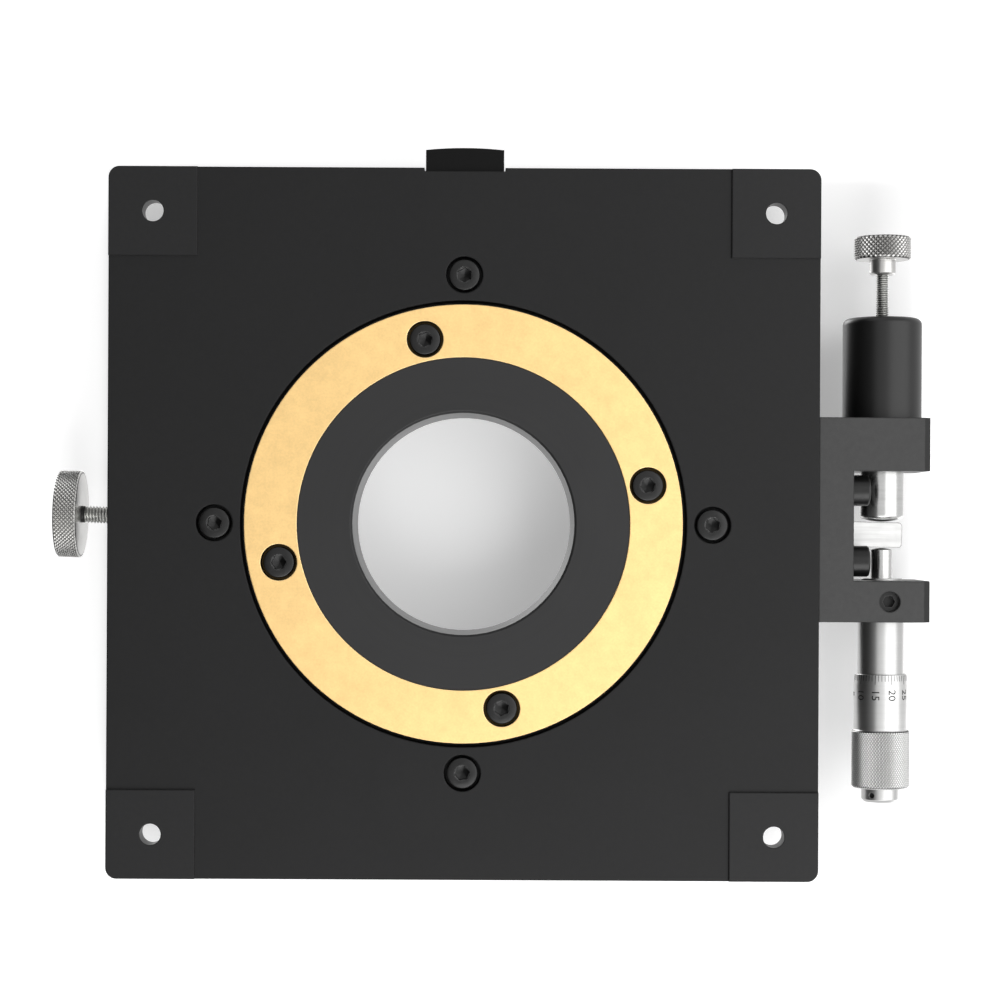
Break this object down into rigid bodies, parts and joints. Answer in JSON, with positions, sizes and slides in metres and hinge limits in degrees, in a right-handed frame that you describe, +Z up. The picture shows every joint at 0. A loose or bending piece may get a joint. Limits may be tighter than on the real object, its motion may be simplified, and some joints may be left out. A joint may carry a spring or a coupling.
{
  "type": "rotation stage",
  "caption": "Manual rotation stage: square base plate, round table with a clear centre bore, tangent-arm micrometer fine drive, vernier block and side lock knob.",
  "frame": {"origin": "on the axis of rotation, in the plane of the base's corner pads", "axes": "+Z up along the axis of rotation to the table's top, +X towards the micrometer bracket, -Y towards the vernier block, -X towards the lock knob"},
  "size_m": [0.1983, 0.1646, 0.028],
  "materials": {
    "black_anodised": "black anodised, fine satin",
    "bracket_black": "black anodised over a finer milled face",
    "brass": "face-turned brass, satin",
    "bronze": "turned bearing bronze",
    "black_screw": "black oxide on alloy steel",
    "bearing_steel": "ground bearing steel",
    "bright_bar": "milled bright steel, fine grain along the bar",
    "polished_steel": "ground and polished steel",
    "zinc_screw": "zinc plated threaded steel",
    "satin_chrome": "satin chrome plate",
    "knurled_steel": "diamond knurled, nickel plated",
    "spring_steel": "drawn spring wire"
  },
  "bodies": {
    "base": {"base_plate": "black_anodised", "bearing_ring": "bearing_steel", "bearing_screws": "black_screw", "housing_ring": "black_anodised", "housing_screws": "black_screw", "thrust_washer": "bronze", "drive_bracket": "bracket_black", "bracket_screws": "black_screw", "spring_housing": "black_anodised", "plunger_spring": "spring_steel", "micrometer_sleeve": "satin_chrome", "sleeve_set_screw": "black_screw", "vernier_block": "black_anodised", "vernier_screws": "black_screw"},
    "fine_drive": {"clamp_ring": "black_anodised", "drive_arm": "bright_bar", "arm_screws": "black_screw"},
    "rotor": {"rotary_table": "black_anodised", "retaining_ring": "brass", "ring_screws": "black_screw"},
    "spindle_slide": {"spindle": "polished_steel"},
    "thimble_body": {"thimble": "satin_chrome", "thimble_cap": "satin_chrome"},
    "plunger_slide": {"spring_plunger": "polished_steel"},
    "seat_slide": {"spring_seat": "spring_steel"},
    "preload_body": {"preload_screw": "zinc_screw", "preload_knob": "knurled_steel"},
    "pad_slide": {"clamp_pad": "brass"},
    "lock_body": {"lock_screw": "zinc_screw", "lock_knob": "knurled_steel"}
  },
  "joints": [
    {"name": "fine_turn", "type": "hinge", "parent": "base", "child": "fine_drive", "pos_m": [0, 0, 0.0138], "axis": [0, 0, 1], "range_deg": [-3.21, 3.21]},
    {"name": "table_turn", "type": "hinge", "parent": "fine_drive", "child": "rotor", "pos_m": [0, 0, 0.0138], "axis": [0, 0, 1], "continuous": true},
    {"name": "spindle_travel", "type": "slide", "parent": "base", "child": "spindle_slide", "axis": [0, -1, 0], "range_m": [-0.00537, 0.00537]},
    {"name": "thimble_turn", "type": "hinge", "parent": "spindle_slide", "child": "thimble_body", "pos_m": [0.096, 0.047, 0.013], "axis": [0, -1, 0], "range_deg": [-3870, 3870]},
    {"name": "plunger_travel", "type": "slide", "parent": "base", "child": "plunger_slide", "axis": [0, -1, 0], "range_m": [-0.00537, 0.00537], "deforming": ["plunger_spring"]},
    {"name": "preload_travel", "type": "slide", "parent": "base", "child": "seat_slide", "axis": [0, 1, 0], "range_m": [-0.002, 0.001], "deforming": ["plunger_spring"]},
    {"name": "preload_turn", "type": "hinge", "parent": "seat_slide", "child": "preload_body", "pos_m": [0.096, -0.05, 0.013], "axis": [0, 1, 0], "range_deg": [-1442, 722]},
    {"name": "lock_travel", "type": "slide", "parent": "fine_drive", "child": "pad_slide", "axis": [0.9998, 0.0209, 0], "range_m": [-0.00105, 0.00023]},
    {"name": "lock_turn", "type": "hinge", "parent": "pad_slide", "child": "lock_body", "pos_m": [-0.06998, -0.00147, 0.013], "axis": [0.9998, 0.0209, 0], "range_deg": [-542, 120]}
  ],
  "couplings": [
    {"joint": "thimble_turn", "follows": "spindle_travel", "rad_per_m": 12566},
    {"joint": "plunger_travel", "follows": "spindle_travel", "ratio": 1},
    {"joint": "fine_turn", "follows": "spindle_travel", "rad_per_m": -10.411},
    {"joint": "preload_turn", "follows": "preload_travel", "rad_per_m": 12566},
    {"joint": "lock_turn", "follows": "lock_travel", "rad_per_m": 8976}
  ]
}
